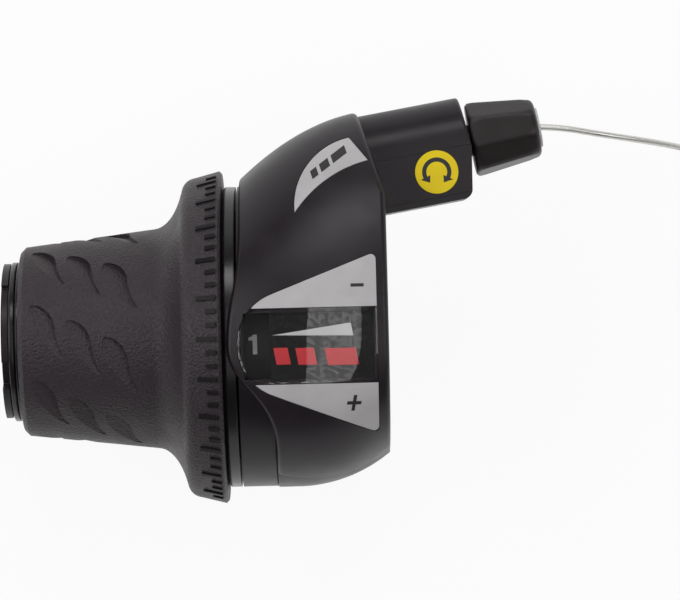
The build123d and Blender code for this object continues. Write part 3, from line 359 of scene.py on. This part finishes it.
wire_route = [
    Vector(point) * MM
    for point in (
        (60.426, 38.309, 4.0),
        (64.6, 38.1, 3.8),
        (70.8, 36.9, 2.9),
        (78.6, 35.7, 0.4),
        (87.0, 34.4, -4.8),
        (96.0, 32.2, -11.6),
        (105.0, 29.0, -17.6),
        (112.6, 23.6, -21.8),
        (117.2, 16.4, -22.6),
        (118.0, 9.6, -22.95),
    )
]


def coil_points():
    """Turns of the coil, row under row, each row a flat spiral."""
    start = wire_route[-1]
    angle = math.atan2(start.y - coil_center.y, start.x - coil_center.x)
    radius = coil_first_radius
    height = start.z
    row_height = coil_first_row
    outer_edge = coil_inner + coil_pitch * (coil_columns - 1)
    fall = (height - row_height) / landing_points
    step = coil_pitch / points_per_turn
    outward = True
    points = []
    for row in range(full_rows + 2):
        edge = outer_edge if outward else coil_inner
        count = round(abs(edge - radius) / step)
        if row == full_rows + 1:
            count = round(last_turns * points_per_turn)
        for _ in range(count):
            radius += step if outward else -step
            height = max(row_height, height - fall)
            angle -= math.tau / points_per_turn
            x = coil_center.x + radius * math.cos(angle)
            y = coil_center.y + radius * math.sin(angle)
            points.append(Vector((x, y, height)))
        row_height -= coil_row_drop
        fall = coil_row_drop / hop_points
        outward = not outward
    return points


curve = bpy.data.curves.new("inner_wire", "CURVE")
curve.dimensions = "3D"
curve.bevel_depth = wire_diameter / 2
curve.bevel_resolution = wire_roundness
curve.resolution_u = wire_smoothness
curve.use_fill_caps = True
spline = curve.splines.new("NURBS")
route = wire_route + coil_points()
spline.points.add(len(route) - 1)
for control, point in zip(spline.points, route):
    control.co = (*point, 1)
spline.order_u = 3
spline.use_endpoint_u = True
wire = bpy.data.objects.new("inner_wire", curve)
scene.collection.objects.link(wire)
curve.materials.append(strand)
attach(wire, "housing")
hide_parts("cable_run", "cable_coil")


# Helpers for prints and raised marks that follow the surface under them, outlined in millimetres

finest_edge = 0.5 * MM
merge_distance = 0.01 * MM
reach = 80.0 * MM


def surface_of(name):
    """Search tree of a node's surface."""
    mesh = nodes[name].data
    return BVHTree.FromPolygons(
        [vertex.co for vertex in mesh.vertices], [face.vertices for face in mesh.polygons]
    )


def flat_shape(outline):
    """Flat shape inside an outline."""
    shape = bmesh.new()
    shape.faces.new([shape.verts.new((x * MM, y * MM, 0)) for x, y in outline])
    return shape


def numeral(figure, size, thicker):
    """Flat shape of a plain figure, centred on the origin and made a little thicker."""
    font_curve = bpy.data.curves.new("numeral", "FONT")
    font_curve.body = figure
    font_curve.size = size
    font_curve.offset = thicker
    font_curve.align_x = "CENTER"
    font_curve.align_y = "CENTER"
    holder = bpy.data.objects.new("numeral", font_curve)
    flat = bpy.data.meshes.new_from_object(holder)
    shape = bmesh.new()
    shape.from_mesh(flat)
    bmesh.ops.remove_doubles(shape, verts=shape.verts[:], dist=merge_distance)
    bpy.data.objects.remove(holder)
    bpy.data.curves.remove(font_curve)
    bpy.data.meshes.remove(flat)
    return shape


def refine(shape):
    """Split a flat shape until it can follow a curved surface."""
    shape.normal_update()
    bmesh.ops.triangulate(shape, faces=shape.faces[:])
    while True:
        long_edges = [edge for edge in shape.edges if edge.calc_length() > finest_edge]
        if not long_edges:
            return
        bmesh.ops.subdivide_edges(shape, edges=long_edges, cuts=1)
        bmesh.ops.triangulate(shape, faces=shape.faces[:])


def seen_from_front(name):
    """Places points of a flat shape on a node, straight down from the camera's side."""
    tree = surface_of(name)
    outward = Vector((0, 0, 1))

    def put(x, y):
        return tree.ray_cast(Vector((x, y, reach)), -outward)[0], outward

    return put


def wrapped_around(name, x_middle, angle_middle):
    """Places points of a flat shape on a round node, wrapped about the bar's axis."""
    tree = surface_of(name)
    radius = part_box(name)[1].y

    def put(x, y):
        angle = angle_middle + y / radius
        outward = Vector((0, math.sin(angle), math.cos(angle)))
        start = Vector((x_middle + x, 0, 0)) + outward * reach
        return tree.ray_cast(start, -outward)[0], outward

    return put


def mark(name, shape, put, lift, sink, material, body):
    """A thin closed piece that stands lift above a surface and reaches sink below it."""
    refine(shape)
    shape.normal_update()
    shape.verts.index_update()
    count = len(shape.verts)
    placed = [put(vertex.co.x, vertex.co.y) for vertex in shape.verts]
    points = [point + outward * lift for point, outward in placed]
    points += [point - outward * sink for point, outward in placed]
    faces = []
    for face in shape.faces:
        if face.normal.z < 0:
            face.normal_flip()
        corners = [vertex.index for vertex in face.verts]
        faces.append(corners)
        faces.append([count + corner for corner in reversed(corners)])
        for loop in face.loops:
            if loop.edge.is_boundary:
                here = loop.vert.index
                there = loop.link_loop_next.vert.index
                faces.append([there, here, count + here, count + there])
    shape.free()
    mesh = bpy.data.meshes.new(name)
    mesh.from_pydata(points, [], faces)
    mesh.materials.append(material)
    piece = bpy.data.objects.new(name, mesh)
    scene.collection.objects.link(piece)
    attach(piece, body)


def bar(x, y, length, width, slant=0.0):
    """Outline of a bar with slanted ends, from its middle."""
    shift = slant * width / 2
    return (
        (x - length / 2 - shift, y - width / 2),
        (x + length / 2 - shift, y - width / 2),
        (x + length / 2 + shift, y + width / 2),
        (x - length / 2 + shift, y + width / 2),
    )


print_lift = 0.03 * MM
thin_print_lift = 0.02 * MM
print_sink = 0.05 * MM


# Raised scale on the grip's flange

tick_count = 33
tick_spacing = math.radians(4.6)
tick_width = 0.85
tick_lengths = (3.6, 1.9, 1.9)
tick_right = -0.95
tick_lift = 0.38 * MM
tick_sink = 0.3 * MM
# Each tick is raised, in rubber darkened as painted shade.
for i in range(tick_count):
    step = i - tick_count // 2
    tick_length = tick_lengths[step % len(tick_lengths)]
    mark(
        f"flange_tick_{i + 1}",
        flat_shape(bar(tick_right - tick_length / 2, 0, tick_length, tick_width)),
        wrapped_around("grip_rubber", 0.0, step * tick_spacing),
        tick_lift, tick_sink, smooth_shaded_rubber, "grip",
    )


# Gear numbers on the number ring

number_x = 5.72 * MM
number_size = 5.2 * MM
number_thicker = 0.12 * MM
number_start = math.radians(-2.9)
number_step = math.radians(30.0)
outline_of_one = (
    (0.75, 1.8), (0.0, 1.8), (-0.35, 1.4), (-0.8, 1.3),
    (-0.8, 0.75), (-0.05, 0.75), (-0.05, -1.8), (0.75, -1.8),
)
figures = {
    "1": flat_shape(outline_of_one),
    "2": numeral("2", number_size, number_thicker),
    "3": numeral("3", number_size, number_thicker),
}
for i, (figure, shape) in enumerate(figures.items()):
    mark(
        f"gear_number_{figure}",
        shape,
        wrapped_around("number_ring", number_x, number_start + number_step * i),
        print_lift, print_sink, print_white, "grip",
    )


# Red bars and white ramp on the card under the window

red_width = 3.05
red_slant = -0.19
red_bars = ((11.08, -3.46, 2.6), (15.44, -3.56, 3.34), (21.88, -3.72, 5.62))
ramp_outline = ((9.3, 0.35), (24.05, 0.0), (23.6, 2.35))
on_card = seen_from_front("display_card")
for i, (x, y, length) in enumerate(red_bars):
    mark(
        f"red_bar_{i + 1}", flat_shape(bar(x, y, length, red_width, red_slant)), on_card,
        thin_print_lift, print_sink, print_red, "housing",
    )
mark(
    "white_ramp", flat_shape(ramp_outline), on_card,
    thin_print_lift, print_sink, print_white, "housing",
)


# Plus and minus on the silver panels

minus_place = (25.0, 9.2)
minus_size = (2.4, 0.6)
plus_place = (24.0, -12.3)
plus_length = 2.6
plus_height = 2.9
plus_stroke = 0.62
plus_slant = 0.2


def plus_outline():
    """Outline of a plus that leans with the display."""
    long_x = plus_length / 2
    long_y = plus_height / 2
    half = plus_stroke / 2
    corners = (
        (half, half), (long_x, half), (long_x, -half),
        (half, -half), (half, -long_y), (-half, -long_y),
        (-half, -half), (-long_x, -half), (-long_x, half),
        (-half, half), (-half, long_y), (half, long_y),
    )
    return [(plus_place[0] + x + plus_slant * y, plus_place[1] + y) for x, y in corners]


mark(
    "minus_sign", flat_shape(bar(*minus_place, *minus_size)), seen_from_front("minus_panel"),
    print_lift, print_sink, print_black, "housing",
)
mark(
    "plus_sign", flat_shape(plus_outline()), seen_from_front("plus_panel"),
    print_lift, print_sink, print_black, "housing",
)


# Three plain bars on the shoulder's inlay

inlay_start = Vector((17.3, 28.9))
inlay_along = Vector((0.80, 0.60))
inlay_across = Vector((-0.60, 0.80))
inlay_bars = ((0.0, 1.4), (2.1, 2.0), (4.8, 3.2))
inlay_bar_width = 1.5
inlay_lean = 0.35


def inlay_bar(start, length):
    """Outline of a bar that lies along the inlay."""
    shift = inlay_lean * inlay_bar_width
    corners = ((start, 0), (start + length, 0), (start + length + shift, 1), (start + shift, 1))
    return [
        inlay_start + inlay_along * along + inlay_across * (across * inlay_bar_width)
        for along, across in corners
    ]


on_inlay = seen_from_front("crescent_badge")
for i, (start, length) in enumerate(inlay_bars):
    mark(
        f"inlay_bar_{i + 1}", flat_shape(inlay_bar(start, length)), on_inlay,
        print_lift, print_sink, print_black, "housing",
    )


# Turning arrow on the round label

label_low, label_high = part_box("arm_badge")
label_x = (label_low.x + label_high.x) / 2 / MM
label_y = (label_low.y + label_high.y) / 2 / MM
arrow_radius = 2.35
arrow_half = 0.4
arrow_head = 1.0
arrow_sweep = math.radians(115.0)
arrow_tip = math.radians(32.0)
arrow_steps = 20


def arrow_outline():
    """Outline of an arc over the label with a head at each end."""

    def at(radius, angle):
        return (label_x + radius * math.sin(angle), label_y + radius * math.cos(angle))

    angles = [arrow_sweep * (2 * i / arrow_steps - 1) for i in range(arrow_steps + 1)]
    outside = [at(arrow_radius + arrow_half, angle) for angle in angles]
    inside = [at(arrow_radius - arrow_half, angle) for angle in reversed(angles)]
    right_head = [
        at(arrow_radius + arrow_head, arrow_sweep),
        at(arrow_radius, arrow_sweep + arrow_tip),
        at(arrow_radius - arrow_head, arrow_sweep),
    ]
    left_head = [
        at(arrow_radius - arrow_head, -arrow_sweep),
        at(arrow_radius, -arrow_sweep - arrow_tip),
        at(arrow_radius + arrow_head, -arrow_sweep),
    ]
    return outside + right_head + inside + left_head


mark(
    "label_arrow", flat_shape(arrow_outline()), seen_from_front("arm_badge"),
    thin_print_lift, print_sink, print_black, "housing",
)


# Floor, white where it is seen, with a faint shadow

floor_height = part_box("grip_rubber")[0].z
floor_half = 3.0
floor_color = (0.9, 0.9, 0.9, 1)
floor_roughness = 0.9
floor_white_share = 0.92
white_strength = 1.0


def seen_or_mirrored(tree):
    """One for what is seen, straight or through a mirror or glass, and nothing for light."""
    path = node(tree, "ShaderNodeLightPath")
    total = path.outputs["Is Camera Ray"]
    for ray in ("Is Glossy Ray", "Is Transmission Ray"):
        either = node(tree, "ShaderNodeMath", operation="MAXIMUM")
        tree.links.new(total, either.inputs[0])
        tree.links.new(path.outputs[ray], either.inputs[1])
        total = either.outputs["Value"]
    return total


def floor_material():
    """Pale floor that looks white and keeps a faint shadow."""
    material, tree, shader = new_material("floor")
    shader.inputs["Base Color"].default_value = floor_color
    shader.inputs["Roughness"].default_value = floor_roughness
    shader.inputs["Specular IOR Level"].default_value = 0.0
    glow = node(tree, "ShaderNodeEmission")
    glow.inputs["Strength"].default_value = white_strength
    share = node(tree, "ShaderNodeMath", operation="MULTIPLY")
    share.inputs[1].default_value = floor_white_share
    tree.links.new(seen_or_mirrored(tree), share.inputs[0])
    mix = node(tree, "ShaderNodeMixShader")
    tree.links.new(share.outputs["Value"], mix.inputs["Fac"])
    tree.links.new(shader.outputs["BSDF"], mix.inputs[1])
    tree.links.new(glow.outputs["Emission"], mix.inputs[2])
    tree.links.new(mix.outputs["Shader"], tree.nodes["Material Output"].inputs["Surface"])
    return material


floor_mesh = bpy.data.meshes.new("floor")
floor_corners = ((-1, -1), (1, -1), (1, 1), (-1, 1))
floor_mesh.from_pydata(
    [(x * floor_half, y * floor_half, floor_height) for x, y in floor_corners], [], [(0, 1, 2, 3)]
)
floor_mesh.materials.append(floor_material())
floor = bpy.data.objects.new("floor", floor_mesh)
scene.collection.objects.link(floor)


# Soft lamps: name, place, width, height and power, all aimed at the middle of the part

aim = Vector((0.015, 0.005, 0.0))
lamps = (
    ("strip_front", (0.156, -0.06, 1.25), 0.4, 1.25, 2.4),
    ("key_top", (0.08, 0.935, 0.9), 0.75, 0.36, 4.2),
    ("key_right", (0.85, 0.1, 0.95), 0.4, 0.6, 2.6),
    ("key_left", (-0.9, 0.24, 0.9), 0.8, 0.9, 6.5),
)
for name, lamp_place, width, height, power in lamps:
    lamp_data = bpy.data.lights.new(name, "AREA")
    lamp_data.shape = "RECTANGLE"
    lamp_data.size = width
    lamp_data.size_y = height
    lamp_data.energy = power
    lamp = bpy.data.objects.new(name, lamp_data)
    lamp.location = lamp_place
    back = (Vector(lamp_place) - aim).normalized()
    across = Vector((0, 1, 0)).cross(back).normalized()
    lamp.rotation_euler = Matrix((across, back.cross(across), back)).transposed().to_euler()
    scene.collection.objects.link(lamp)


# World: dim light from all round, with a white horizon and a darker ceiling to look at

dim_light = (0.15, 0.15, 0.15, 1)
horizon_top = 0.05
ceiling_rim = 0.4
ceiling_strength = 0.1


def studio_world():
    world = bpy.data.worlds.new("studio")
    world.use_nodes = True
    tree = world.node_tree
    direction = node(tree, "ShaderNodeSeparateXYZ")
    tree.links.new(node(tree, "ShaderNodeTexCoord").outputs["Generated"], direction.inputs["Vector"])
    shade = node(tree, "ShaderNodeMapRange", interpolation_type="SMOOTHSTEP")
    shade.inputs["From Min"].default_value = horizon_top
    shade.inputs["From Max"].default_value = ceiling_rim
    shade.inputs["To Min"].default_value = white_strength
    shade.inputs["To Max"].default_value = ceiling_strength
    tree.links.new(direction.outputs["Z"], shade.inputs["Value"])
    color = node(tree, "ShaderNodeMix", data_type="RGBA")
    color.inputs["A"].default_value = dim_light
    tree.links.new(seen_or_mirrored(tree), color.inputs["Factor"])
    tree.links.new(shade.outputs["Result"], color.inputs["B"])
    tree.links.new(color.outputs["Result"], tree.nodes["Background"].inputs["Color"])
    return world


scene.world = studio_world()
